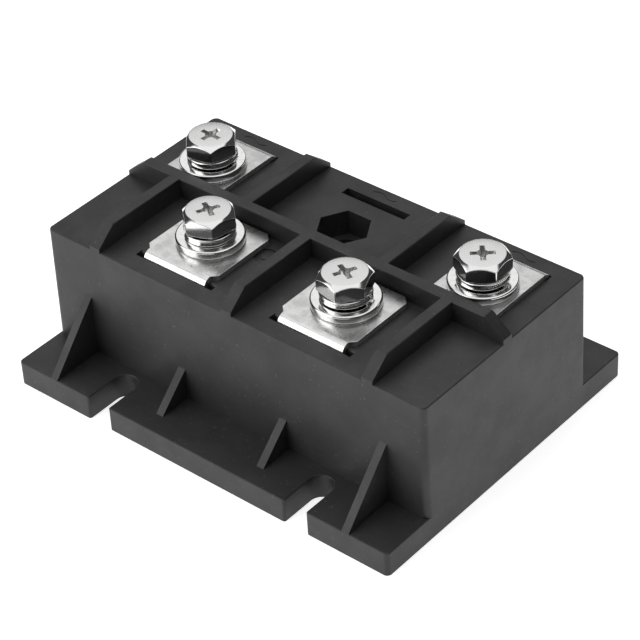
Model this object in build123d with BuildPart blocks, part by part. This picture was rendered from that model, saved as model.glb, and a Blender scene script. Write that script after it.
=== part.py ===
from build123d import *
import math
import os

os.makedirs("parts", exist_ok=True)

# Single-phase bridge rectifier module with four screw terminals on a moulded deck.
# Millimetres. X runs along the module, Y from its front to its back, and it rests on Z = 0.

# Moulded housing
module_length = 91.5
base_width = 71.1
base_height = 5.2
base_corner_radius = 1.0
base_edge_radius = 0.25
box_width = 48.5
box_corner_radius = 1.5
wall_draft = 0.6
deck_height = 30.2
deck_thickness = 2.5
deck_edge_radius = 0.3
wall_thickness = 2.5
cavity_corner_radius = 2.0

# Barrier ribs on the deck
rib_height = 4.3
rib_thickness = 2.5
rib_end_run = 4.3
rib_end_land = 0.8
rib_edge_radius = 0.25
rib_root = 1.0

# Gussets between the box and the flanges
gusset_thickness = 1.65
outer_gusset_inset = 9.65
outer_gusset_height = 13.2
inner_gusset_offset = 11.9
inner_gusset_height = 6.8
inner_gusset_reach = 7.0
gusset_root = 1.0

# Open notches for the mounting screws
notch_inset = 21.35
notch_width = 5.2
notch_depth = 9.9
notch_mouth_radius = 0.5

# Terminal positions, in two rows on the deck
terminal_end_inset = 12.85
tab_row_inset = 4.85
tab_reach = 9.9
slot_clearance_y = 0.15

# Terminal strips
strip_thickness = 1.2
strip_bend_radius = 0.65
strip_rib_gap = 0.45
strip_corner_chamfer = 1.4
strip_hole_diameter = 6.6
dc_strip_width = 17.6
dc_tab_width = 15.3
dc_shoulder = 1.1
dc_slot_length = 19.0
ac_strip_width = 14.8
ac_slot_length = 15.3
strip_foot_length = 7.0
strip_leg_width = 8.0
leg_shoulder_drop = 3.0

# Screws, washers and nuts for a 6 mm thread
thread_diameter = 6.0
thread_clearance = 0.05
screw_length = 12.0
screw_tip_chamfer = 0.8
head_across_flats = 9.45
head_height = 3.55
head_corner_radius = 0.2
crown_flat_diameter = 8.5
crown_drop = 1.0
crown_edge_radius = 0.3
head_seat_chamfer = 0.35
recess_span = 4.6
recess_arm_width = 0.95
recess_centre_across = 2.1
recess_point_radius = 1.1
recess_wing_depth = 1.9
recess_depth = 2.3
recess_taper = 4.0
recess_edge_radius = 0.1
flat_washer_diameter = 13.3
flat_washer_hole = 6.5
flat_washer_thickness = 1.7
flat_washer_edge_radius = 0.4
spring_washer_diameter = 10.0
spring_washer_hole = 6.4
spring_washer_thickness = 1.4
spring_washer_rise = 0.45
spring_washer_gap = 0.9
spring_washer_slant = 20.0
spring_washer_fit = 0.02
nut_across_flats = 9.4
nut_height = 5.0
nut_chamfer = 0.5
pocket_side_clearance = 0.15
pocket_floor_gap = 0.3
tip_hole_diameter = 7.0
tip_hole_depth = 3.2
boss_wall = 1.6
boss_floor = 1.5

# Moulded marks in the deck
wave_mark_span = 5.6
wave_mark_rise = 0.5
wave_mark_width = 0.5
wave_mark_inset = 2.35
wave_mark_depth = 0.1
gate_mark_x = -6.0
gate_mark_y = -6.1
gate_mark_diameter = 4.6
gate_mark_depth = 0.3
gate_stub_diameter = 1.8
gate_stub_height = 0.15

# Base plate, ceramic and circuit
plate_thickness = 3.0
plate_clearance = 0.15
plate_ledge = 1.0
plate_edge_chamfer = 0.3
substrate_end_margin = 2.0
substrate_side_margin = 1.0
substrate_thickness = 0.8
track_thickness = 0.5
track_margin = 0.5
track_gap = 2.0
ac_split_offset = 2.5
dc_split_x = 0.0
bus_front_y = -3.0
bus_back_y = 5.0
chip_size = 8.0
chip_thickness = 0.4
chip_margin = 1.0
chip_gap = 0.5
clip_thickness = 0.5
clip_width = 5.0
clip_gap = 1.0
clip_bend_radius = 0.8
clip_rise = 2.5
clip_landing = 2.5
clip_margin = 0.5
resin_height = 13.0

# Heights and places that follow from the sizes above
base_overhang = (base_width - box_width) / 2
wall_lean = math.tan(math.radians(wall_draft))
deck_length = module_length - 2 * wall_lean * (deck_height - base_height)
deck_width = box_width - 2 * wall_lean * (deck_height - base_height)
outer_gusset_x = module_length / 2 - outer_gusset_inset
notch_x = module_length / 2 - notch_inset
inner_gusset_x = notch_x - inner_gusset_offset
terminal_pitch = (module_length / 2 - terminal_end_inset) / 2
tab_row_y = box_width / 2 - tab_row_inset
terminal_row_y = tab_row_y - tab_reach
wave_mark_y = box_width / 2 - wave_mark_inset
rib_top = deck_height + rib_height
strip_top = deck_height + strip_thickness
flat_washer_top = strip_top + flat_washer_thickness
head_seat = flat_washer_top + spring_washer_thickness + spring_washer_rise
head_top = head_seat + head_height
cavity_length = module_length - 2 * wall_thickness
cavity_width = box_width - 2 * wall_thickness
recess_length = cavity_length + 2 * plate_ledge
recess_width = cavity_width + 2 * plate_ledge
pocket_across_flats = nut_across_flats + 2 * pocket_side_clearance
pocket_depth = nut_height + pocket_floor_gap
boss_diameter = pocket_across_flats / math.cos(math.radians(30)) + 2 * boss_wall
boss_depth = pocket_depth + tip_hole_depth + boss_floor
slot_width = strip_thickness + 2 * slot_clearance_y
substrate_length = cavity_length - 2 * substrate_end_margin
substrate_width = cavity_width - 2 * substrate_side_margin
substrate_top = plate_thickness + substrate_thickness
track_top = substrate_top + track_thickness
chip_top = track_top + chip_thickness

ac_left_x = -2 * terminal_pitch
ac_right_x = 2 * terminal_pitch
negative_x = -terminal_pitch
positive_x = terminal_pitch
back_columns = [ac_left_x, 0, ac_right_x]
front_columns = [negative_x, positive_x]
nut_places = [(x, terminal_row_y) for x in back_columns] + [(x, -terminal_row_y) for x in front_columns]

# Chips stand beside the strips' legs, and beside the clips that pass them
beside_leg = (strip_leg_width + chip_size) / 2 + chip_gap
ac_split_x = positive_x - ac_split_offset
diode_1_x = positive_x - beside_leg
diode_2_x = ac_left_x + beside_leg
diode_4_x = ac_split_x + (track_gap + chip_size) / 2 + chip_gap
diode_3_x = diode_4_x + (chip_size + clip_width) / 2 + clip_gap


def rib_profile(half_length):
    """Side view of a rib, with both ends sloping down to a low land at the deck's edge."""
    Polyline(
        (-half_length, deck_height - rib_root),
        (-half_length, deck_height + rib_end_land),
        (-half_length + rib_end_run, rib_top),
        (half_length - rib_end_run, rib_top),
        (half_length, deck_height + rib_end_land),
        (half_length, deck_height - rib_root),
        close=True,
    )


def half_rib_profile(reach):
    """Side view of a rib that starts inside the long rib and slopes down at the deck's edge."""
    Polyline(
        (0, deck_height - rib_root),
        (0, rib_top),
        (reach - rib_end_run, rib_top),
        (reach, deck_height + rib_end_land),
        (reach, deck_height - rib_root),
        close=True,
    )


def gusset_profile(side, height, reach):
    """Side view of a gusset that leans from the box wall down to the flange."""
    wall = side * (box_width / 2 - gusset_root)
    face = side * box_width / 2
    Polyline(
        (wall, base_height - gusset_root),
        (wall, base_height + height),
        (face - side * wall_lean * height, base_height + height),
        (face + side * reach, base_height),
        (face + side * reach, base_height - gusset_root),
        close=True,
    )


# The housing is one moulding: flanges, box, ribs and gussets, hollow from below
with BuildPart() as housing:
    with BuildSketch() as base_outline:
        RectangleRounded(module_length, base_width, base_corner_radius)
        notch_centre_y = base_width / 2 - notch_depth + notch_width / 2
        for side in (-1, 1):
            with Locations((-notch_x, side * notch_centre_y), (notch_x, side * notch_centre_y)):
                Circle(notch_width / 2, mode=Mode.SUBTRACT)
            mouth_run = base_width / 2 - notch_centre_y
            middle_y = side * (notch_centre_y + mouth_run / 2)
            with Locations((-notch_x, middle_y), (notch_x, middle_y)):
                Rectangle(notch_width, mouth_run, mode=Mode.SUBTRACT)
        mouths = base_outline.vertices().filter_by(
            lambda v: abs(abs(v.Y) - base_width / 2) < 0.01 and abs(abs(v.X) - notch_x) < notch_width
        )
        fillet(mouths, notch_mouth_radius)
    extrude(amount=base_height)
    fillet(housing.edges().group_by(Axis.Z)[-1], base_edge_radius)

    # The walls above the flanges lean in a little, so that the box leaves its mould
    with BuildSketch():
        RectangleRounded(module_length, box_width, box_corner_radius)
    extrude(amount=base_height)
    with BuildSketch(Plane.XY.offset(base_height)):
        RectangleRounded(module_length, box_width, box_corner_radius)
    extrude(amount=deck_height - base_height, taper=wall_draft)
    fillet(housing.edges().group_by(Axis.Z)[-1], deck_edge_radius)

    with BuildSketch(Plane.XZ):
        with BuildLine():
            rib_profile(deck_length / 2)
        make_face()
    extrude(amount=rib_thickness / 2, both=True)
    for rib_x in (-terminal_pitch, terminal_pitch):
        with BuildSketch(Plane.YZ.offset(rib_x)):
            with BuildLine():
                half_rib_profile(deck_width / 2)
            make_face()
        extrude(amount=rib_thickness / 2, both=True)
    for rib_x in (ac_left_x, 0, ac_right_x):
        front_facing = Plane(origin=(rib_x, 0, 0), x_dir=(0, -1, 0), z_dir=(-1, 0, 0))
        with BuildSketch(front_facing):
            with BuildLine():
                half_rib_profile(deck_width / 2)
            make_face()
        extrude(amount=rib_thickness / 2, both=True)
    fillet(housing.faces().sort_by(Axis.Z)[-1].edges(), rib_edge_radius)

    for side in (-1, 1):
        for gusset_x in (-outer_gusset_x, outer_gusset_x):
            with BuildSketch(Plane.YZ.offset(gusset_x)):
                with BuildLine():
                    gusset_profile(side, outer_gusset_height, base_overhang)
                make_face()
            extrude(amount=gusset_thickness / 2, both=True)
        for gusset_x in (-inner_gusset_x, inner_gusset_x):
            with BuildSketch(Plane.YZ.offset(gusset_x)):
                with BuildLine():
                    gusset_profile(side, inner_gusset_height, inner_gusset_reach)
                make_face()
            extrude(amount=gusset_thickness / 2, both=True)

    with BuildSketch():
        RectangleRounded(recess_length, recess_width, cavity_corner_radius)
    extrude(amount=plate_thickness, mode=Mode.SUBTRACT)
    with BuildSketch():
        RectangleRounded(cavity_length, cavity_width, cavity_corner_radius)
    extrude(amount=deck_height - deck_thickness, mode=Mode.SUBTRACT)

    # A closed boss under the deck holds each nut and gives room for the screw's tip
    with BuildSketch(Plane.XY.offset(deck_height - boss_depth)):
        with Locations(*nut_places):
            Circle(boss_diameter / 2)
    extrude(amount=boss_depth - deck_thickness / 2)
    with BuildSketch(Plane.XY.offset(deck_height)):
        with Locations(*nut_places):
            RegularPolygon(pocket_across_flats / 2, 6, major_radius=False)
    extrude(amount=-pocket_depth, mode=Mode.SUBTRACT)
    with BuildSketch(Plane.XY.offset(deck_height - pocket_depth)):
        with Locations(*nut_places):
            Circle(tip_hole_diameter / 2)
    extrude(amount=-tip_hole_depth, mode=Mode.SUBTRACT)

    # Slots let the terminal strips down into the box, one of them unused
    with BuildSketch(Plane.XY.offset(deck_height)):
        with Locations(*[(x, tab_row_y) for x in back_columns]):
            Rectangle(ac_slot_length, slot_width)
        with Locations(*[(x, -tab_row_y) for x in front_columns]):
            Rectangle(dc_slot_length, slot_width)
    extrude(amount=-deck_thickness, mode=Mode.SUBTRACT)
    # Each slot is rounded where a strip bends over its inner edge
    slot_inner_y = tab_row_y - slot_width / 2
    bend_edges = housing.edges().filter_by(Axis.X).filter_by(
        lambda e: abs(e.center().Z - deck_height) < 0.01 and abs(abs(e.center().Y) - slot_inner_y) < 0.01
    )
    fillet(bend_edges, strip_bend_radius)

    # Wave marks show the alternating-current side, and a dimple the moulding gate
    with BuildSketch(Plane.XY.offset(deck_height)):
        for mark_x in back_columns:
            with BuildLine():
                left = (mark_x - wave_mark_span / 2, wave_mark_y)
                crest = (mark_x - wave_mark_span / 4, wave_mark_y + wave_mark_rise)
                middle = (mark_x, wave_mark_y)
                trough = (mark_x + wave_mark_span / 4, wave_mark_y - wave_mark_rise)
                right = (mark_x + wave_mark_span / 2, wave_mark_y)
                ThreePointArc(left, crest, middle)
                ThreePointArc(middle, trough, right)
            trace(line_width=wave_mark_width)
    extrude(amount=-wave_mark_depth, mode=Mode.SUBTRACT)
    with BuildSketch(Plane.XY.offset(deck_height)):
        with Locations((gate_mark_x, gate_mark_y)):
            Circle(gate_mark_diameter / 2)
    extrude(amount=-gate_mark_depth, mode=Mode.SUBTRACT)
    with BuildSketch(Plane.XY.offset(deck_height - gate_mark_depth)):
        with Locations((gate_mark_x, gate_mark_y)):
            Circle(gate_stub_diameter / 2)
    extrude(amount=gate_stub_height)

housing.part.label = "housing"
export_step(housing.part, "parts/housing.step")

# The base plate fills the recess from below, flush with the underside
with BuildPart() as base_plate:
    with BuildSketch():
        RectangleRounded(
            recess_length - 2 * plate_clearance,
            recess_width - 2 * plate_clearance,
            cavity_corner_radius - plate_clearance,
        )
    extrude(amount=plate_thickness)
    chamfer(base_plate.edges().group_by(Axis.Z)[0], plate_edge_chamfer)

base_plate.part.label = "base_plate"
export_step(base_plate.part, "parts/base_plate.step")

# The ceramic insulates the circuit from the base plate
with BuildPart() as substrate:
    with BuildSketch(Plane.XY.offset(plate_thickness)):
        Rectangle(substrate_length, substrate_width)
    extrude(amount=substrate_thickness)

substrate.part.label = "substrate"
export_step(substrate.part, "parts/substrate.step")

# Copper tracks on the ceramic: two at the back, one L-shaped and one plain at the front
track_end_x = substrate_length / 2 - track_margin
track_end_y = substrate_width / 2 - track_margin
back_track_y = bus_back_y + track_gap
track_outlines = {
    "track_ac_left": [
        (-track_end_x, back_track_y),
        (ac_split_x - track_gap / 2, back_track_y),
        (ac_split_x - track_gap / 2, track_end_y),
        (-track_end_x, track_end_y),
    ],
    "track_ac_right": [
        (ac_split_x + track_gap / 2, back_track_y),
        (track_end_x, back_track_y),
        (track_end_x, track_end_y),
        (ac_split_x + track_gap / 2, track_end_y),
    ],
    "track_negative": [
        (-track_end_x, -track_end_y),
        (dc_split_x - track_gap / 2, -track_end_y),
        (dc_split_x - track_gap / 2, bus_front_y),
        (track_end_x, bus_front_y),
        (track_end_x, bus_back_y),
        (-track_end_x, bus_back_y),
    ],
    "track_positive": [
        (dc_split_x + track_gap / 2, -track_end_y),
        (track_end_x, -track_end_y),
        (track_end_x, bus_front_y - track_gap),
        (dc_split_x + track_gap / 2, bus_front_y - track_gap),
    ],
}
circuit = [substrate.part]
for track_name, outline in track_outlines.items():
    with BuildPart() as track:
        with BuildSketch(Plane.XY.offset(substrate_top)):
            with BuildLine():
                Polyline(*outline, close=True)
            make_face()
        extrude(amount=track_thickness)
    track.part.label = track_name
    export_step(track.part, f"parts/{track_name}.step")
    circuit.append(track.part)

# Each chip lies on one track, and its clip carries the current to the next track
back_chip_y = back_track_y + chip_margin + chip_size / 2
front_chip_y = bus_front_y - track_gap - chip_margin - chip_size / 2
bus_middle_y = (bus_front_y + bus_back_y) / 2
back_landing_y = back_track_y + clip_margin + clip_landing / 2
chip_places = [
    (diode_1_x, front_chip_y, back_landing_y),
    (diode_2_x, back_chip_y, bus_middle_y),
    (diode_3_x, front_chip_y, back_landing_y),
    (diode_4_x, back_chip_y, bus_middle_y),
]
for number, (chip_x, chip_y, landing_y) in enumerate(chip_places, start=1):
    with BuildPart() as diode:
        with BuildSketch(Plane.XY.offset(track_top)):
            with Locations((chip_x, chip_y)):
                Rectangle(chip_size, chip_size)
        extrude(amount=chip_thickness)
    diode.part.label = f"diode_{number}"
    export_step(diode.part, f"parts/diode_{number}.step")
    circuit.append(diode.part)

    towards = math.copysign(1, landing_y - chip_y)
    half_clip = clip_thickness / 2
    chip_seat = chip_top + half_clip
    landing_seat = track_top + half_clip
    with BuildPart() as clip:
        with BuildLine(Plane.YZ.offset(chip_x)) as clip_path:
            FilletPolyline(
                (chip_y - towards * chip_size / 4, chip_seat),
                (chip_y + towards * chip_size / 4, chip_seat),
                (chip_y + towards * chip_size / 4, chip_seat + clip_rise),
                (landing_y - towards * clip_landing / 2, chip_seat + clip_rise),
                (landing_y - towards * clip_landing / 2, landing_seat),
                (landing_y + towards * clip_landing / 2, landing_seat),
                radius=clip_bend_radius,
            )
        start = Plane(origin=clip_path.line @ 0, x_dir=(1, 0, 0), z_dir=clip_path.line % 0)
        with BuildSketch(start):
            Rectangle(clip_width, clip_thickness)
        sweep()
    clip.part.label = f"clip_{number}"
    export_step(clip.part, f"parts/clip_{number}.step")
    circuit.append(clip.part)

# Split spring washer, one turn of a square wire cut through at a slant
wire_width = (spring_washer_diameter - spring_washer_hole) / 2
wire_radius = (spring_washer_diameter + spring_washer_hole) / 4
wire_level = (spring_washer_thickness + spring_washer_fit) / 2
coil_rise = spring_washer_rise - spring_washer_fit
slant = math.radians(spring_washer_slant)
with BuildPart() as split_ring:
    with BuildLine(Plane.XY.offset(wire_level)) as coil:
        Helix(pitch=coil_rise, height=coil_rise, radius=wire_radius)
    with BuildSketch(Plane(origin=coil.line @ 0, x_dir=(1, 0, 0), z_dir=coil.line % 0)):
        Rectangle(wire_width, spring_washer_thickness)
    sweep(is_frenet=True)
    cut_centre = (wire_radius, 0, wire_level + coil_rise / 2)
    cut_direction = (0, math.sin(slant), math.cos(slant))
    with BuildSketch(Plane(origin=cut_centre, x_dir=(1, 0, 0), z_dir=cut_direction)):
        Rectangle(2 * wire_width, spring_washer_gap)
    extrude(amount=2 * spring_washer_thickness, both=True, mode=Mode.SUBTRACT)

# Stamped cross recess, as the body of its punch: four wings that run down to a blunt point
with BuildPart() as cross_punch:
    with BuildSketch():
        Rectangle(recess_span, recess_arm_width)
        Rectangle(recess_arm_width, recess_span)
        Rectangle(recess_centre_across, recess_centre_across, rotation=45)
    extrude(amount=-recess_depth, taper=recess_taper)
    with BuildSketch(Plane.XZ):
        with BuildLine():
            Polyline(
                (0, 0),
                (recess_span / 2, 0),
                (recess_point_radius, -recess_wing_depth),
                (0, -recess_depth),
                close=True,
            )
        make_face()
    revolve(axis=Axis.Z, mode=Mode.INTERSECT)

# Each terminal is one bent strip: a pad on the deck, a tab through its slot and a foot on a track
terminals = [
    ("ac_left", ac_left_x, 1, ac_strip_width, ac_strip_width, 11.0, 87.0, 35.0),
    ("ac_right", ac_right_x, 1, ac_strip_width, ac_strip_width, 33.5, 40.0, 30.0),
    ("negative", negative_x, -1, dc_strip_width, dc_tab_width, 19.0, 62.0, -130.0),
    ("positive", positive_x, -1, dc_strip_width, dc_tab_width, 49.5, 64.0, 20.0),
]
middle_radius = strip_bend_radius + strip_thickness / 2
for place, terminal_x, side, strip_width, tab_width, head_turn, cross_turn, split_turn in terminals:
    terminal_y = side * terminal_row_y
    inner_end_y = rib_thickness / 2 + strip_rib_gap
    pad_level = deck_height + strip_thickness / 2
    foot_level = track_top + strip_thickness / 2
    with BuildPart() as terminal:
        with BuildLine(Plane.YZ.offset(terminal_x)) as strip_path:
            FilletPolyline(
                (side * inner_end_y, pad_level),
                (side * tab_row_y, pad_level),
                (side * tab_row_y, foot_level),
                (side * (tab_row_y - strip_foot_length), foot_level),
                radius=middle_radius,
            )
        start = Plane(origin=strip_path.line @ 0, x_dir=(1, 0, 0), z_dir=strip_path.line % 0)
        with BuildSketch(start):
            Rectangle(strip_width, strip_thickness)
        sweep()
        inner_corners = terminal.edges().filter_by(Axis.Z).filter_by(
            lambda e: abs(abs(e.center().Y) - inner_end_y) < 0.01
        )
        chamfer(inner_corners, strip_corner_chamfer)
        # The tab is narrower than the pad, with sloping shoulders just before the bend
        if tab_width < strip_width:
            shoulder_y = tab_row_y - middle_radius
            for edge in (-1, 1):
                with BuildSketch(Plane.XY.offset(deck_height + strip_thickness)):
                    with BuildLine():
                        Polyline(
                            (terminal_x + edge * tab_width / 2, side * (tab_row_y + strip_thickness)),
                            (terminal_x + edge * tab_width / 2, side * shoulder_y),
                            (terminal_x + edge * strip_width / 2, side * (shoulder_y - dc_shoulder)),
                            (terminal_x + edge * strip_width, side * (shoulder_y - dc_shoulder)),
                            (terminal_x + edge * strip_width, side * (tab_row_y + strip_thickness)),
                            close=True,
                        )
                    make_face()
                extrude(amount=-deck_height, mode=Mode.SUBTRACT)
        # Below the deck the strip narrows to the leg that stands on the track
        leg_top = deck_height - deck_thickness - leg_shoulder_drop
        for edge in (-1, 1):
            with BuildSketch():
                with Locations((terminal_x + edge * (strip_leg_width + strip_width) / 2, 0)):
                    Rectangle(strip_width, base_width)
            extrude(amount=leg_top, mode=Mode.SUBTRACT)
        with BuildSketch(Plane.XY.offset(strip_top)):
            with Locations((terminal_x, terminal_y)):
                Circle(strip_hole_diameter / 2)
        extrude(amount=-strip_thickness, mode=Mode.SUBTRACT)
    terminal.part.label = f"terminal_{place}"
    export_step(terminal.part, f"parts/terminal_{place}.step")
    circuit.append(terminal.part)

    # The nut is drawn up against the strip and can't turn in its pocket
    nut_corner_radius = nut_across_flats / 2 / math.cos(math.radians(30))
    nut_foot = (terminal_x, terminal_y, deck_height - nut_height)
    nut_plane = Plane(origin=nut_foot, x_dir=(1, 0, 0), z_dir=(0, -1, 0))
    with BuildPart() as nut:
        with BuildSketch(Plane.XY.offset(deck_height - nut_height)):
            with Locations((terminal_x, terminal_y)):
                RegularPolygon(nut_across_flats / 2, 6, major_radius=False)
        extrude(amount=nut_height)
        with BuildSketch(nut_plane):
            with BuildLine():
                Polyline(
                    (0, 0),
                    (nut_corner_radius - nut_chamfer, 0),
                    (nut_corner_radius, nut_chamfer),
                    (nut_corner_radius, nut_height - nut_chamfer),
                    (nut_corner_radius - nut_chamfer, nut_height),
                    (0, nut_height),
                    close=True,
                )
            make_face()
        revolve(axis=Axis((terminal_x, terminal_y, 0), (0, 0, 1)), mode=Mode.INTERSECT)
        with BuildSketch(Plane.XY.offset(deck_height - nut_height)):
            with Locations((terminal_x, terminal_y)):
                Circle(thread_diameter / 2 + thread_clearance)
        extrude(amount=nut_height, mode=Mode.SUBTRACT)
    nut.part.label = f"nut_{place}"
    export_step(nut.part, f"parts/nut_{place}.step")

    # Flat washer on the strip, with rounded rims
    with BuildPart() as flat_washer:
        with BuildSketch(Plane.XY.offset(strip_top)):
            with Locations((terminal_x, terminal_y)):
                Circle(flat_washer_diameter / 2)
        extrude(amount=flat_washer_thickness)
        fillet(flat_washer.edges(), flat_washer_edge_radius)
        with BuildSketch(Plane.XY.offset(strip_top)):
            with Locations((terminal_x, terminal_y)):
                Circle(flat_washer_hole / 2)
        extrude(amount=flat_washer_thickness, mode=Mode.SUBTRACT)
    flat_washer.part.label = f"flat_washer_{place}"
    export_step(flat_washer.part, f"parts/flat_washer_{place}.step")

    # The split of each spring washer faces its own way
    with BuildPart() as spring_washer:
        with Locations(Location((terminal_x, terminal_y, flat_washer_top), (0, 0, split_turn))):
            add(split_ring.part)
    spring_washer.part.label = f"spring_washer_{place}"
    export_step(spring_washer.part, f"parts/spring_washer_{place}.step")

    # Cold-formed screw: hex head with a turned crown and a stamped cross recess
    head_foot = (terminal_x, terminal_y, head_seat)
    head_plane = Plane(origin=head_foot, x_dir=(1, 0, 0), z_dir=(0, -1, 0))
    screw_axis = Axis((terminal_x, terminal_y, 0), (0, 0, 1))
    head_corner = head_across_flats / 2 / math.cos(math.radians(30))
    with BuildPart() as screw:
        with BuildSketch(Plane.XY.offset(head_seat)) as hexagon:
            with Locations((terminal_x, terminal_y)):
                RegularPolygon(head_across_flats / 2, 6, major_radius=False, rotation=head_turn)
            fillet(hexagon.vertices(), head_corner_radius)
        extrude(amount=head_height)
        with BuildSketch(head_plane) as crown:
            with BuildLine():
                Polyline(
                    (0, 0),
                    (head_across_flats / 2 - head_seat_chamfer, 0),
                    (head_corner, head_seat_chamfer),
                    (head_corner, head_height - crown_drop),
                    (crown_flat_diameter / 2, head_height),
                    (0, head_height),
                    close=True,
                )
            make_face()
            crown_edge = crown.vertices().filter_by(lambda v: abs(v.Y - head_height) < 0.01 and v.X > 0.01)
            fillet(crown_edge, crown_edge_radius)
        revolve(axis=screw_axis, mode=Mode.INTERSECT)
        with Locations(Location((terminal_x, terminal_y, head_top), (0, 0, cross_turn))):
            add(cross_punch.part, mode=Mode.SUBTRACT)
        recess_rim = screw.faces().sort_by(Axis.Z)[-1].inner_wires()[0].edges()
        fillet(recess_rim, recess_edge_radius)
        with BuildSketch(head_plane):
            with BuildLine():
                Polyline(
                    (0, 0),
                    (thread_diameter / 2, 0),
                    (thread_diameter / 2, screw_tip_chamfer - screw_length),
                    (thread_diameter / 2 - screw_tip_chamfer, -screw_length),
                    (0, -screw_length),
                    close=True,
                )
            make_face()
        revolve(axis=screw_axis)
    screw.part.label = f"screw_{place}"
    export_step(screw.part, f"parts/screw_{place}.step")

# Cast resin fills the lower part of the box around the circuit
with BuildPart() as potting:
    with BuildSketch(Plane.XY.offset(plate_thickness)):
        RectangleRounded(cavity_length, cavity_width, cavity_corner_radius)
    extrude(amount=resin_height)
    add(circuit, mode=Mode.SUBTRACT)

potting.part.label = "potting"
export_step(potting.part, "parts/potting.step")
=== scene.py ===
import math

import bmesh
import bpy
from mathutils import Matrix, Vector


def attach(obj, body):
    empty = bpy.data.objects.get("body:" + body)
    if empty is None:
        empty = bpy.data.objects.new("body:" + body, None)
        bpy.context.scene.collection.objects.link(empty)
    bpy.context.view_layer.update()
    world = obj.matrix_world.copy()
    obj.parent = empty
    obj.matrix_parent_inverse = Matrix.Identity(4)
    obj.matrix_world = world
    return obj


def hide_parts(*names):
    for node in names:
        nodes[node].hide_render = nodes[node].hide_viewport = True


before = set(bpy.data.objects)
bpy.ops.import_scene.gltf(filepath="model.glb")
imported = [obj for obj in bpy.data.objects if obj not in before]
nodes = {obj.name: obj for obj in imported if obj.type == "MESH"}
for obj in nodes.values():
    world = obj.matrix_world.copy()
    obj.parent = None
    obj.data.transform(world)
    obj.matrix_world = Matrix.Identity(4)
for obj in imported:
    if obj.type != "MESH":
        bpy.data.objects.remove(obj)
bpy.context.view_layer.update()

mm = 0.001

# Housing: one shot of black glass-filled polyester. Flanges, walls, gussets and barrier ribs
# leave the mould together, so every face has the same fine eroded grain and every edge a
# small radius. The flow of the melt leaves slightly paler and glossier clouds.

join_distance = 0.001 * mm
speck_length = 0.0005 * mm
flat_enough = math.radians(0.3)


class Tone:
    """A socket in a finish that is added, scaled and compared like a number."""

    def __init__(self, finish, socket):
        self.finish = finish
        self.socket = socket

    def maths(self, operation, *values):
        return self.finish.node("ShaderNodeMath", {"operation": operation}, dict(enumerate(values)))

    def __add__(self, other):
        return self.maths("ADD", self, other)

    def __radd__(self, other):
        return self.maths("ADD", other, self)

    def __sub__(self, other):
        return self.maths("SUBTRACT", self, other)

    def __rsub__(self, other):
        return self.maths("SUBTRACT", other, self)

    def __mul__(self, other):
        return self.maths("MULTIPLY", self, other)

    def __rmul__(self, other):
        return self.maths("MULTIPLY", other, self)

    def __gt__(self, other):
        return self.maths("GREATER_THAN", self, other)

    def __abs__(self):
        return self.maths("ABSOLUTE", self)

    def or_more(self, other):
        return self.maths("MAXIMUM", self, other)


class Finish:
    """One material of the module, with its pattern laid out in the object's own metres."""

    def __init__(self, name, metallic=0.0, ior=1.5):
        self.material = bpy.data.materials.new(name)
        self.material.use_nodes = True
        self.tree = self.material.node_tree
        self.shader = self.tree.nodes["Principled BSDF"]
        self.shader.inputs["Metallic"].default_value = metallic
        self.shader.inputs["IOR"].default_value = ior

    def node(self, kind, settings=None, inputs=None, output=0):
        """Add a node: its settings first, then a value or a link for each named socket."""
        made = self.tree.nodes.new(kind)
        for key, value in (settings or {}).items():
            setattr(made, key, value)
        for key, value in (inputs or {}).items():
            if isinstance(value, Tone):
                self.tree.links.new(value.socket, made.inputs[key])
            else:
                made.inputs[key].default_value = value
        return Tone(self, made.outputs[output])

    def feed(self, socket, value):
        """Give one of the shader's sockets a number, a colour or the end of a pattern."""
        if isinstance(value, Tone):
            self.tree.links.new(value.socket, self.shader.inputs[socket])
        else:
            value = (*value, 1) if isinstance(value, tuple) else value
            self.shader.inputs[socket].default_value = value

    def position(self):
        return self.node("ShaderNodeTexCoord", output="Object")

    def along(self, axis):
        return self.node("ShaderNodeSeparateXYZ", {}, {0: self.position()}, output=axis)

    def away_from(self, point):
        settings = {"operation": "DISTANCE"}
        inputs = {0: self.position(), 1: point}
        return self.node("ShaderNodeVectorMath", settings, inputs, output="Value")

    def noise(self, size, detail=2.0, rough=0.5, stretch=(1, 1, 1)):
        inputs = {"Vector": self.position(), "Scale": stretch}
        laid = self.node("ShaderNodeMapping", {}, inputs)
        inputs = {"Vector": laid, "Scale": 1 / size, "Detail": detail, "Roughness": rough}
        return self.node("ShaderNodeTexNoise", {}, inputs)

    def ramp(self, value, low, high, start=0.0, end=1.0):
        """Pass smoothly from start to end while the value rises from low to high."""
        inputs = {"Value": value, "From Min": low, "From Max": high, "To Min": start, "To Max": end}
        return self.node("ShaderNodeMapRange", {"interpolation_type": "SMOOTHSTEP"}, inputs)

    def blend(self, mask, first, second):
        """Mix two colours by a mask. A Mix node keeps its colour sockets behind the others."""
        mask_in, first_in, second_in, colour_out = 0, 6, 7, 2
        colours = [(*value, 1) if isinstance(value, tuple) else value for value in (first, second)]
        inputs = {mask_in: mask, first_in: colours[0], second_in: colours[1]}
        return self.node("ShaderNodeMix", {"data_type": "RGBA"}, inputs, output=colour_out)

    def shades(self, pattern, low, high, first, second):
        """Pass from the first colour to the second while the pattern rises from low to high."""
        return self.blend(self.ramp(pattern, low, high), first, second)

    def roughen(self, base, texture, spread):
        """Feed a roughness that a texture moves up and down by half its spread."""
        self.feed("Roughness", base + (texture - 0.5) * spread)

    def relief(self, height, depth, strength):
        inputs = {"Strength": strength, "Distance": depth, "Height": height}
        self.feed("Normal", self.node("ShaderNodeBump", {}, inputs))

    def on(self, *things):
        for thing in things:
            thing.data.materials.clear()
            thing.data.materials.append(self.material)


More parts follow.
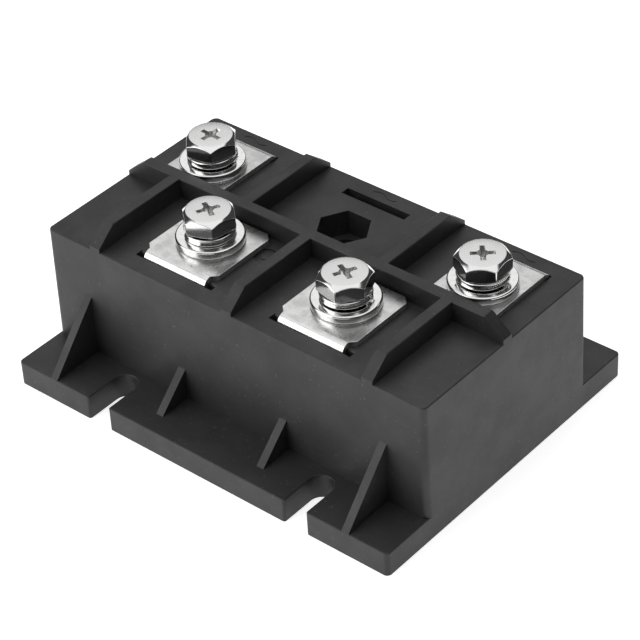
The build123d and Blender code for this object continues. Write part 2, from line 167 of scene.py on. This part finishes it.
def placed(form, mesh, name, crease, edge_radius=0.0):
    """Close a form into an object of the module. Edges bent by more than the crease stay sharp."""
    for face in form.faces:
        face.smooth = True
    for edge in form.edges:
        edge.smooth = edge.calc_face_angle(0) < math.radians(crease)
    form.to_mesh(mesh)
    form.free()
    piece = bpy.data.objects.new(name, mesh)
    bpy.context.scene.collection.objects.link(piece)
    if edge_radius:
        bevel = piece.modifiers.new("edges", "BEVEL")
        bevel.width, bevel.segments = edge_radius, 2
        bevel.limit_method, bevel.angle_limit = "ANGLE", math.radians(crease)
        bevel.use_clamp_overlap = False
        bevel.harden_normals = True
    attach(piece, "root")
    return piece


def finished_copy(node, name, crease, edge_radius=0.0):
    """The node's shape with its triangles joined, smooth over curves and fine-bevelled at edges."""
    mesh = nodes[node].data.copy()
    mesh.name = name
    form = bmesh.new()
    form.from_mesh(mesh)
    bmesh.ops.remove_doubles(form, verts=form.verts, dist=join_distance)
    bmesh.ops.dissolve_degenerate(form, edges=form.edges, dist=speck_length)
    if edge_radius:
        bmesh.ops.dissolve_limit(form, angle_limit=flat_enough, verts=form.verts, edges=form.edges)
    piece = placed(form, mesh, name, crease, edge_radius)
    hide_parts(node)
    return piece


black_resin = (0.021, 0.021, 0.0215)
charcoal_resin = (0.031, 0.031, 0.0315)
bare_glass = (0.10, 0.10, 0.10)
polyester = Finish("moulded black polyester")
grain = polyester.noise(0.35 * mm, detail=3, rough=0.6)
cloud = polyester.noise(7 * mm, detail=4, rough=0.6)
fleck = polyester.ramp(polyester.noise(0.7 * mm, detail=1), 0.70, 0.76)
shade = polyester.shades(cloud, 0.3, 0.7, black_resin, charcoal_resin)
polyester.feed("Base Color", polyester.blend(fleck * 0.5, shade, bare_glass))
polyester.roughen(polyester.ramp(cloud, 0.3, 0.7, start=0.50, end=0.44), grain, spread=0.12)
polyester.relief(grain, depth=0.03 * mm, strength=0.5)
polyester.on(finished_copy("housing", "housing_moulding", crease=24))

# Base plate: copper 3 mm thick, milled flat on the side that meets the heat sink and plated
# with matt nickel. The housing is bonded over its rim. Fine passes of the cutter remain.

plate_nickel = (0.68, 0.67, 0.65)
stained_nickel = (0.62, 0.60, 0.575)
milled_nickel = Finish("milled matt nickel", metallic=1.0)
passes = milled_nickel.noise(0.22 * mm, detail=2, stretch=(1, 0.02, 1))
stain = milled_nickel.noise(7 * mm, detail=4, rough=0.6)
milled_nickel.feed("Base Color", milled_nickel.shades(
    stain, 0.4, 0.75, plate_nickel, stained_nickel))
milled_nickel.roughen(
    milled_nickel.ramp(stain, 0.35, 0.75, start=0.30, end=0.42), passes, spread=0.12)
milled_nickel.relief(passes, depth=0.008 * mm, strength=0.6)
milled_nickel.on(nodes["base_plate"])

# Ceramic: a sheet of fired alumina soldered to the base plate. It is matt and off-white, with
# a faint grey mottle from the firing.

white_alumina = (0.88, 0.87, 0.84)
grey_alumina = (0.82, 0.81, 0.79)
alumina = Finish("fired alumina", ior=1.76)
firing = alumina.noise(2.5 * mm, detail=4, rough=0.6)
powder = alumina.noise(0.15 * mm)
alumina.feed("Base Color", alumina.shades(firing, 0.35, 0.7, white_alumina, grey_alumina))
alumina.roughen(0.55, powder, spread=0.15)
alumina.relief(powder, depth=0.01 * mm, strength=0.5)
alumina.on(nodes["substrate"])

# Tracks: copper bonded to the ceramic and etched into four fields, one for each terminal. Where
# solder has run beside the chips and the strips' feet the copper has a dull silver bloom.

terminals = {
    "ac_left": (-32.9 * mm, 9.5 * mm), "ac_right": (32.9 * mm, 9.5 * mm),
    "negative": (-16.45 * mm, -9.5 * mm), "positive": (16.45 * mm, -9.5 * mm)}

etched_metal = (0.72, 0.42, 0.28)
solder_bloom = (0.62, 0.60, 0.57)
etched_copper = Finish("etched copper", metallic=1.0)
etch = etched_copper.noise(0.3 * mm, detail=3)
bloom = etched_copper.ramp(etched_copper.noise(4 * mm, detail=4, rough=0.6), 0.50, 0.66)
etched_copper.feed("Base Color", etched_copper.blend(bloom, etched_metal, solder_bloom))
etched_copper.roughen(
    etched_copper.ramp(bloom, 0.0, 1.0, start=0.34, end=0.46), etch, spread=0.15)
etched_copper.relief(etch, depth=0.01 * mm, strength=0.5)
etched_copper.on(*[nodes["track_" + place] for place in terminals])

# Chips: four diodes sawn from a silicon wafer. Their tops are metallised in dull silver
# over the dark silicon, which shows at the rim.

silicon_top = 4.65 * mm
sawn_silicon = (0.09, 0.09, 0.11)
chip_silver = (0.48, 0.48, 0.47)
silicon = Finish("metallised silicon")
haze = silicon.noise(0.8 * mm, detail=3)
above = silicon.along(2) > silicon_top
silicon.feed("Base Color", silicon.blend(above, sawn_silicon, chip_silver))
silicon.feed("Metallic", above * 0.9)
silicon.feed("Roughness", 0.20 + haze * 0.2)
silicon.on(*[nodes[f"diode_{number}"] for number in range(1, 5)])

# Clips: copper ribbon bent into bridges, soldered from each chip to the next track. The feet
# are tinned by the solder and the arch stays bare.

all_tinned, all_bare = 5.5 * mm, 6.3 * mm
bare_ribbon = (0.74, 0.44, 0.30)
tinned_ribbon = (0.66, 0.65, 0.62)
ribbon_copper = Finish("copper ribbon", metallic=1.0)
drawing = ribbon_copper.noise(0.2 * mm, detail=2, stretch=(1, 0.05, 1))
ragged_height = ribbon_copper.along(2) + (drawing - 0.5) * 0.4 * mm
tinned = ribbon_copper.ramp(ragged_height, all_tinned, all_bare, start=1.0, end=0.0)
ribbon_copper.feed("Base Color", ribbon_copper.blend(tinned, bare_ribbon, tinned_ribbon))
ribbon_copper.roughen(0.28, drawing, spread=0.15)
ribbon_copper.relief(drawing, depth=0.006 * mm, strength=0.5)
ribbon_copper.on(*[nodes[f"clip_{number}"] for number in range(1, 5)])

# Potting: dark epoxy poured over the circuit and cured, level and glossy, with faint flow
# marks and a few pin bubbles.

dark_epoxy = (0.050, 0.046, 0.042)
pale_epoxy = (0.072, 0.066, 0.060)
epoxy = Finish("cast dark epoxy")
flow = epoxy.noise(6 * mm, detail=3, stretch=(1, 0.4, 1))
bubble = epoxy.ramp(epoxy.noise(1.1 * mm, detail=0), 0.74, 0.80)
epoxy.feed("Base Color", epoxy.blend(flow, dark_epoxy, pale_epoxy))
epoxy.feed("Roughness", 0.14 + flow * 0.12 + bubble * 0.2)
epoxy.relief(flow * 0.4 - bubble, depth=0.03 * mm, strength=0.5)
epoxy.on(nodes["potting"])

# Terminal strips: copper blanked and bent over the edge of the deck, then plated with a
# satin nickel that hides the copper but keeps a trace of the rolled sheet. From the bend
# down, the nickel is painted near white as a painted highlight where the bends catch the light.

strip_top = 31.4 * mm
bend_foot, bend_head = strip_top - 0.30 * mm, strip_top - 0.04 * mm
strip_edge_radius = 0.12 * mm
clean_pad = (0.72, 0.72, 0.715)
mottled_pad = (0.58, 0.58, 0.575)
painted_highlight_bend = (0.93, 0.93, 0.925)

satin_nickel = Finish("satin nickel on copper", metallic=1.0)
rolling = satin_nickel.noise(0.3 * mm, detail=2, stretch=(1, 0.08, 1))
mottle = satin_nickel.noise(2.6 * mm, detail=4, rough=0.65)
pitting = satin_nickel.noise(0.45 * mm, detail=2, rough=0.6)
pad_tone = satin_nickel.shades(mottle, 0.35, 0.68, clean_pad, mottled_pad)
# Painted highlight: below the flat pad, the colour passes to near white over the bend and the strip
# beneath it.
bend = satin_nickel.ramp(satin_nickel.along(2), bend_foot, bend_head, start=1.0, end=0.0)
satin_nickel.feed("Base Color", satin_nickel.blend(bend, pad_tone, painted_highlight_bend))
satin_nickel.roughen(
    satin_nickel.ramp(mottle, 0.3, 0.7, start=0.25, end=0.34), rolling, spread=0.10)
satin_nickel.relief(rolling * 0.5 + pitting, depth=0.012 * mm, strength=0.5)
for place in terminals:
    satin_nickel.on(finished_copy(
        "terminal_" + place, "strip_" + place, crease=32,
        edge_radius=strip_edge_radius))

# Nuts: hexagon nuts of zinc-plated steel with chamfered corners and a tapped thread. Each
# stands in its pocket below the strip, which keeps it from turning.

deck_height = 30.2 * mm
nut_height = 5.0 * mm
nut_across_flats = 9.4 * mm
nut_chamfer = 0.5 * mm
nut_bore_radius = 3.05 * mm
nut_bore_chamfer = 0.25 * mm
nut_thread_crest = 2.58 * mm
nut_thread_sink = 0.03 * mm
nut_thread_margins = (0.2 * mm, 0.7 * mm)
nut_thread_start = 0.25
thread_pitch = 1.0 * mm
thread_steps_per_turn = 28
thread_root_share = 0.44
thread_crest_share = 0.0625
plane_distance = 0.0001 * mm


def edges_in(parts):
    return [part for part in parts if isinstance(part, bmesh.types.BMEdge)]


def ring_of(form, corners):
    """The edges of a closed outline through the given corners."""
    return [form.edges.new((corners[number - 1], corner)) for number, corner in enumerate(corners)]


def turned(profile, centre, steps, closed):
    """A profile of radii and heights turned once round a terminal's axis."""
    form = bmesh.new()
    points = [form.verts.new((centre[0] + radius, centre[1], height)) for radius, height in profile]
    lines = [form.edges.new(pair) for pair in zip(points, points[1:])]
    if closed:
        lines.append(form.edges.new((points[-1], points[0])))
    bmesh.ops.spin(form, geom=points + lines, cent=(*centre, 0), axis=(0, 0, 1), dvec=(0, 0, 0),
                   angle=2 * math.pi, steps=steps, use_merge=True)
    bmesh.ops.remove_doubles(form, verts=form.verts, dist=join_distance)
    return form


def cut_flats(form, centre, across_flats, turn):
    """Trim a turned blank to a hexagon, whose first corner lies at the given angle."""
    for number in range(6):
        angle = math.radians(turn + 30 + 60 * number)
        outward = Vector((math.cos(angle), math.sin(angle), 0))
        cut = bmesh.ops.bisect_plane(
            form, geom=form.verts[:] + form.edges[:] + form.faces[:], dist=plane_distance,
            plane_co=Vector((*centre, 0)) + outward * across_flats / 2, plane_no=outward,
            clear_outer=True)
        bmesh.ops.contextual_create(form, geom=edges_in(cut["geom_cut"]))


def cut_thread(form, centre, low, high, root, crest, start=0.0):
    """Wind a ridge with sloping flanks up a shank or a bore, sunk a little into its wall."""
    section = ((root, -thread_root_share), (crest, -thread_crest_share),
               (crest, thread_crest_share), (root, thread_root_share))
    points = [form.verts.new((centre[0] + radius, centre[1], low + (start + place) * thread_pitch))
              for radius, place in section]
    lines = ring_of(form, points)
    steps = round(thread_steps_per_turn * (high - low) / thread_pitch)
    wound = bmesh.ops.spin(
        form, geom=points + lines, cent=(*centre, 0), axis=(0, 0, 1),
        dvec=(0, 0, thread_pitch / thread_steps_per_turn),
        angle=2 * math.pi * steps / thread_steps_per_turn, steps=steps)
    bmesh.ops.contextual_create(form, geom=lines)
    bmesh.ops.contextual_create(form, geom=edges_in(wound["geom_last"]))


def fitted(form, name, node, crease, edge_radius=0.0):
    """Close a turned or wound form into the piece that takes a node's place."""
    bmesh.ops.recalc_face_normals(form, faces=form.faces)
    piece = placed(form, bpy.data.meshes.new(name), name, crease, edge_radius)
    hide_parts(node)
    return piece


pale_zinc = (0.66, 0.67, 0.69)
dull_zinc = (0.56, 0.57, 0.58)
zinc = Finish("bright zinc on steel", metallic=1.0)
spangle = zinc.noise(1.4 * mm, detail=3)
zinc.feed("Base Color", zinc.shades(spangle, 0.35, 0.7, pale_zinc, dull_zinc))
zinc.feed("Roughness", zinc.ramp(spangle, 0.3, 0.7, start=0.24, end=0.36))
zinc.relief(spangle, depth=0.01 * mm, strength=0.4)

nut_foot = deck_height - nut_height
nut_corner_radius = nut_across_flats / 2 / math.cos(math.radians(30))
nut_profile = [
    (nut_bore_radius + nut_bore_chamfer, nut_foot), (nut_corner_radius - nut_chamfer, nut_foot),
    (nut_corner_radius, nut_foot + nut_chamfer), (nut_corner_radius, deck_height - nut_chamfer),
    (nut_corner_radius - nut_chamfer, deck_height),
    (nut_bore_radius + nut_bore_chamfer, deck_height),
    (nut_bore_radius, deck_height - nut_bore_chamfer),
    (nut_bore_radius, nut_foot + nut_bore_chamfer)]
for place, centre in terminals.items():
    form = turned(nut_profile, centre, steps=72, closed=True)
    cut_flats(form, centre, nut_across_flats, turn=0)
    cut_thread(
        form, centre, nut_foot + nut_thread_margins[0], deck_height - nut_thread_margins[1],
        nut_bore_radius + nut_thread_sink, nut_thread_crest, nut_thread_start)
    zinc.on(fitted(form, "hex_nut_" + place, "nut_" + place, crease=24))

# Flat washers: stamped from steel strip with rolled-over rims and plated with bright nickel.
# The punch leaves a short break round the hole, and the tumbling a few dull scuffs.

flat_washer_radius = 6.65 * mm
flat_washer_hole_radius = 3.25 * mm
flat_washer_thickness = 1.7 * mm
flat_washer_rim = 0.4 * mm
punch_break = 0.12 * mm

clean_nickel = (0.82, 0.82, 0.815)
scuffed_nickel = (0.74, 0.74, 0.735)
bright_nickel = Finish("bright nickel on steel", metallic=1.0)
orange_peel = bright_nickel.noise(0.5 * mm)
scuff = bright_nickel.noise(1.3 * mm, detail=3, rough=0.6)
bright_nickel.feed("Base Color", bright_nickel.shades(
    scuff, 0.4, 0.75, clean_nickel, scuffed_nickel))
bright_nickel.feed("Roughness", bright_nickel.ramp(scuff, 0.35, 0.75, start=0.09, end=0.18))
bright_nickel.relief(orange_peel, depth=0.005 * mm, strength=0.4)

rim_angles = [math.radians(15 * step) for step in range(7)]
washer_side = [
    (flat_washer_hole_radius, punch_break), (flat_washer_hole_radius + punch_break, 0),
    *[(flat_washer_radius - flat_washer_rim + flat_washer_rim * math.sin(angle),
       flat_washer_rim * (1 - math.cos(angle))) for angle in rim_angles]]
washer_side += [
    (radius, flat_washer_thickness - height) for radius, height in reversed(washer_side)]
washer_profile = [(radius, strip_top + height) for radius, height in washer_side]
for place, centre in terminals.items():
    form = turned(washer_profile, centre, steps=120, closed=True)
    bright_nickel.on(fitted(
        form, "stamped_washer_" + place, "flat_washer_" + place, crease=30))

# Spring washers: square steel wire coiled one turn, cut through at a slant and hardened, with
# the same nickel as the flat washers. The ends stay a little apart when the screw is tight.

wire_width = 1.8 * mm
wire_thickness = 1.4 * mm
wire_rounding = 0.28 * mm
coil_radius = 4.1 * mm
coil_rise = 0.43 * mm
coil_steps = 96
coil_clearance = 0.01 * mm
split_width = 0.958 * mm
split_slant = math.radians(20)
split_turns = {"ac_left": 35.0, "ac_right": 30.0, "negative": -130.0, "positive": 20.0}

half_split = split_width / coil_radius / 2
wire_turn = 2 * math.pi - 2 * half_split
wire_foot = (strip_top + flat_washer_thickness + coil_clearance
             + coil_rise * half_split / (2 * math.pi))
for place, centre in terminals.items():
    form = bmesh.new()
    axis_foot = Vector((*centre, 0))
    corners = []
    for aside, height in ((-0.5, 0), (0.5, 0), (0.5, 1), (-0.5, 1)):
        lean = (height - 0.5) * wire_thickness * math.tan(split_slant) / coil_radius
        angle = math.radians(split_turns[place]) + half_split + lean
        reach = coil_radius + aside * wire_width
        corners.append(form.verts.new(axis_foot + Vector((
            reach * math.cos(angle), reach * math.sin(angle),
            wire_foot + height * wire_thickness))))
    section = ring_of(form, corners)
    coiled = bmesh.ops.spin(
        form, geom=corners + section, cent=axis_foot, axis=(0, 0, 1), angle=wire_turn,
        steps=coil_steps, dvec=(0, 0, coil_rise * wire_turn / (2 * math.pi) / coil_steps))
    bmesh.ops.contextual_create(form, geom=section)
    bmesh.ops.contextual_create(form, geom=edges_in(coiled["geom_last"]))
    bright_nickel.on(fitted(
        form, "split_washer_" + place, "spring_washer_" + place, crease=30,
        edge_radius=wire_rounding))

# Screws: cold-formed steel with a turned crown over the hexagon, a stamped cross recess and a
# rolled thread, all nickel plated. The flats are bright, and the top and the recess keep the
# satin of the tools.

head_seat = 34.95 * mm
head_height = 3.55 * mm
head_top = head_seat + head_height
head_across_flats = 9.45 * mm
head_corner_radius = 5.40 * mm
head_edge_radius = 0.07 * mm
seat_radius = 4.375 * mm
seat_chamfer = 0.35 * mm
crown_radius = 4.25 * mm
crown_foot = 2.55 * mm
crown_rounding = ((-0.10 * mm, 0.0), (0.02 * mm, 0.02 * mm), (0.13 * mm, 0.09 * mm))
screw_length = 12.0 * mm
screw_tip = head_seat - screw_length
tip_chamfer = 0.3 * mm
core_radius = 2.45 * mm
screw_thread_crest = 3.0 * mm
screw_thread_sink = 0.05 * mm
screw_thread_margins = (0.9 * mm, 0.5 * mm)
screw_turns = {
    "ac_left": (11.0, 87.0), "ac_right": (33.5, 40.0),
    "negative": (19.0, 62.0), "positive": (49.5, 64.0)}

wing_depth = 1.9 * mm
recess_depth = 2.3 * mm
recess_rim_sizes = (4.6 * mm, 0.95 * mm, 2.1 * mm)
recess_floor_sizes = (2.2 * mm, 0.68 * mm, 1.8 * mm)
satin_reach = 2.6 * mm
satin_skin = 0.04 * mm

drawn_nickel = (0.82, 0.82, 0.815)
stamped_nickel = (0.74, 0.74, 0.735)
forged_nickel = Finish("nickel on cold-formed steel", metallic=1.0)
on_top = forged_nickel.along(2) > head_top - satin_skin
for centre in terminals.values():
    in_recess = satin_reach - forged_nickel.away_from((*centre, head_top)) > 0
    on_top = on_top.or_more(in_recess)
forged_peel = forged_nickel.noise(0.6 * mm)
frost = forged_nickel.noise(0.16 * mm, rough=0.6)
forged_nickel.feed("Base Color", forged_nickel.blend(on_top, drawn_nickel, stamped_nickel))
forged_nickel.roughen(0.10 + on_top * 0.18, frost, spread=0.06)
forged_nickel.relief(
    forged_peel * (1 - on_top) + frost * on_top, depth=0.005 * mm, strength=0.4)


def cross_outline(form, centre, turn, span, arm, middle, height):
    """The closed outline of a four-winged recess, with its inner corners cut off."""
    reach, half, cut = span / 2, arm / 2, middle / math.sqrt(2) - arm / 2
    corners = []
    for quarter in range(4):
        angle = math.radians(turn + 90 * quarter)
        ahead = Vector((math.cos(angle), math.sin(angle), 0))
        across = Vector((-math.sin(angle), math.cos(angle), 0))
        for along, aside in ((cut, -half), (reach, -half), (reach, half), (cut, half)):
            corners.append(form.verts.new(
                Vector((*centre, height)) + ahead * along + across * aside))
    return ring_of(form, corners)


screw_profile = [
    *[(crown_radius + outward, head_top - down) for outward, down in crown_rounding],
    (head_corner_radius, head_seat + crown_foot), (head_corner_radius, head_seat + seat_chamfer),
    (seat_radius, head_seat), (core_radius, head_seat),
    (core_radius, screw_tip + tip_chamfer), (core_radius - tip_chamfer, screw_tip)]
for place, centre in terminals.items():
    head_turn, cross_turn = screw_turns[place]
    form = turned(screw_profile, centre, steps=96, closed=False)
    rims = [edge for edge in form.edges if edge.is_boundary]
    top_rim = [edge for edge in rims if edge.verts[0].co.z > head_seat]
    tip_rim = [edge for edge in rims if edge.verts[0].co.z < head_seat]
    bmesh.ops.contextual_create(form, geom=tip_rim)
    recess_rim = cross_outline(form, centre, cross_turn, *recess_rim_sizes, head_top)
    bmesh.ops.triangle_fill(form, edges=top_rim + recess_rim, use_beauty=True, normal=(0, 0, 1))
    recess_floor = cross_outline(
        form, centre, cross_turn, *recess_floor_sizes, head_top - wing_depth)
    bmesh.ops.bridge_loops(form, edges=recess_rim + recess_floor)
    bottom = bmesh.ops.contextual_create(form, geom=recess_floor)["faces"]
    point = bmesh.ops.poke(form, faces=bottom)["verts"]
    bmesh.ops.translate(form, verts=point, vec=(0, 0, wing_depth - recess_depth))
    cut_flats(form, centre, head_across_flats, head_turn)
    cut_thread(
        form, centre, screw_tip + screw_thread_margins[0], head_seat - screw_thread_margins[1],
        core_radius - screw_thread_sink, screw_thread_crest)
    forged_nickel.on(fitted(
        form, "forged_screw_" + place, "screw_" + place, crease=27,
        edge_radius=head_edge_radius))

# Floor: a pale sheet just under the module. To the camera and in reflections it is lifted to
# white, as an overlit studio sweep is, and the module still shades it. From below it is clear,
# so that the underside can be looked at.

floor_reach = 6.0
floor_drop = 0.02 * mm
floor_form = bmesh.new()
bmesh.ops.create_grid(floor_form, x_segments=1, y_segments=1, size=floor_reach)
bmesh.ops.translate(floor_form, verts=floor_form.verts, vec=(0, 0, -floor_drop))
floor_mesh = bpy.data.meshes.new("floor")
floor_form.to_mesh(floor_mesh)
floor_form.free()
floor = bpy.data.objects.new("floor", floor_mesh)
bpy.context.scene.collection.objects.link(floor)

no_glow, white_glow = (0.0, 0.0, 0.0), (0.7, 0.7, 0.7)
sheet = Finish("pale sheet")
to_camera, in_reflection, through_glass = [
    sheet.node("ShaderNodeLightPath", output=kind)
    for kind in ("Is Camera Ray", "Is Glossy Ray", "Is Transmission Ray")]
seen = to_camera + in_reflection + through_glass
sheet.feed("Base Color", (0.9, 0.9, 0.9))
sheet.feed("Roughness", 1.0)
sheet.feed("Specular IOR Level", 0.0)
sheet.feed("Emission Color", sheet.blend(seen, no_glow, white_glow))
sheet.feed("Emission Strength", 1.0)
sheet.feed("Alpha", 1 - sheet.node("ShaderNodeNewGeometry", output="Backfacing"))
sheet.on(floor)

# Light: a long soft box runs overhead from behind the module to the camera, and another
# stands low at the front left. The sides of the studio stay dark, which draws the metal. Below
# the floor all is white.

azimuth, elevation, roll = math.radians(42.064), math.radians(37.448), math.radians(-3.439)
side_slope, front_slope, back_slope = 1.22, -1.2, 0.45
low_box_direction = (-0.50, -0.79, 0.35)
dark_wall, white_box, bright_box = (0.05, 0.05, 0.05), (1.0, 1.0, 1.0), (2.3, 2.3, 2.3)
world = bpy.data.worlds.new("studio")
bpy.context.scene.world = world
world.use_nodes = True


class Studio(Finish):
    """The light from all round, laid out by fixed directions in the studio."""

    def __init__(self, world):
        self.tree = world.node_tree
        self.shader = self.tree.nodes["Background"]

    def towards(self, direction):
        settings = {"operation": "DOT_PRODUCT"}
        inputs = {0: self.node("ShaderNodeTexCoord", output="Generated"),
                  1: Vector(direction).normalized()}
        return self.node("ShaderNodeVectorMath", settings, inputs, output="Value")


studio = Studio(world)
behind = studio.towards((-math.sin(azimuth), math.cos(azimuth), 0))
aside = abs(studio.towards((math.cos(azimuth), math.sin(azimuth), 0)))
overhead = studio.towards((0, 0, 1))
limit = (aside * side_slope).or_more(behind * front_slope).or_more(behind * back_slope)
long_box = studio.ramp(overhead - limit, -0.08, 0.10)
low_box = studio.ramp(studio.towards(low_box_direction), 0.84, 0.94)
below = studio.ramp(overhead, -0.05, -0.02, start=1.0, end=0.0)
lit = studio.blend(long_box.or_more(below), dark_wall, white_box)
studio.feed("Color", studio.blend(low_box, lit, bright_box))
studio.feed("Strength", 1.0)

# Camera: a long lens at the photograph's height and side. It aims a little beside the middle
# of the module and is rolled a few degrees about its own axis, as the photographer's was.

aim = Vector((0, 0, 15 * mm))
distance = 480.71 * mm
shift_right, shift_down = 0.947 * mm, 0.714 * mm
back = Vector((math.sin(azimuth) * math.cos(elevation), -math.cos(azimuth) * math.cos(elevation),
               math.sin(elevation)))
level_right = Vector((math.cos(azimuth), math.sin(azimuth), 0))
level_up = back.cross(level_right)
right = level_right * math.cos(roll) + level_up * math.sin(roll)
up = level_up * math.cos(roll) - level_right * math.sin(roll)
camera_data = bpy.data.cameras.new("camera")
camera_data.sensor_width = 36
camera_data.lens = 142.48
camera_data.clip_start = 0.01
camera = bpy.data.objects.new("camera", camera_data)
bpy.context.scene.collection.objects.link(camera)
turn = Matrix((right, up, back)).transposed().to_4x4()
spot = aim + back * distance + right * shift_right - up * shift_down
camera.matrix_world = Matrix.Translation(spot) @ turn
bpy.context.scene.camera = camera
bpy.context.scene.view_settings.view_transform = "Standard"
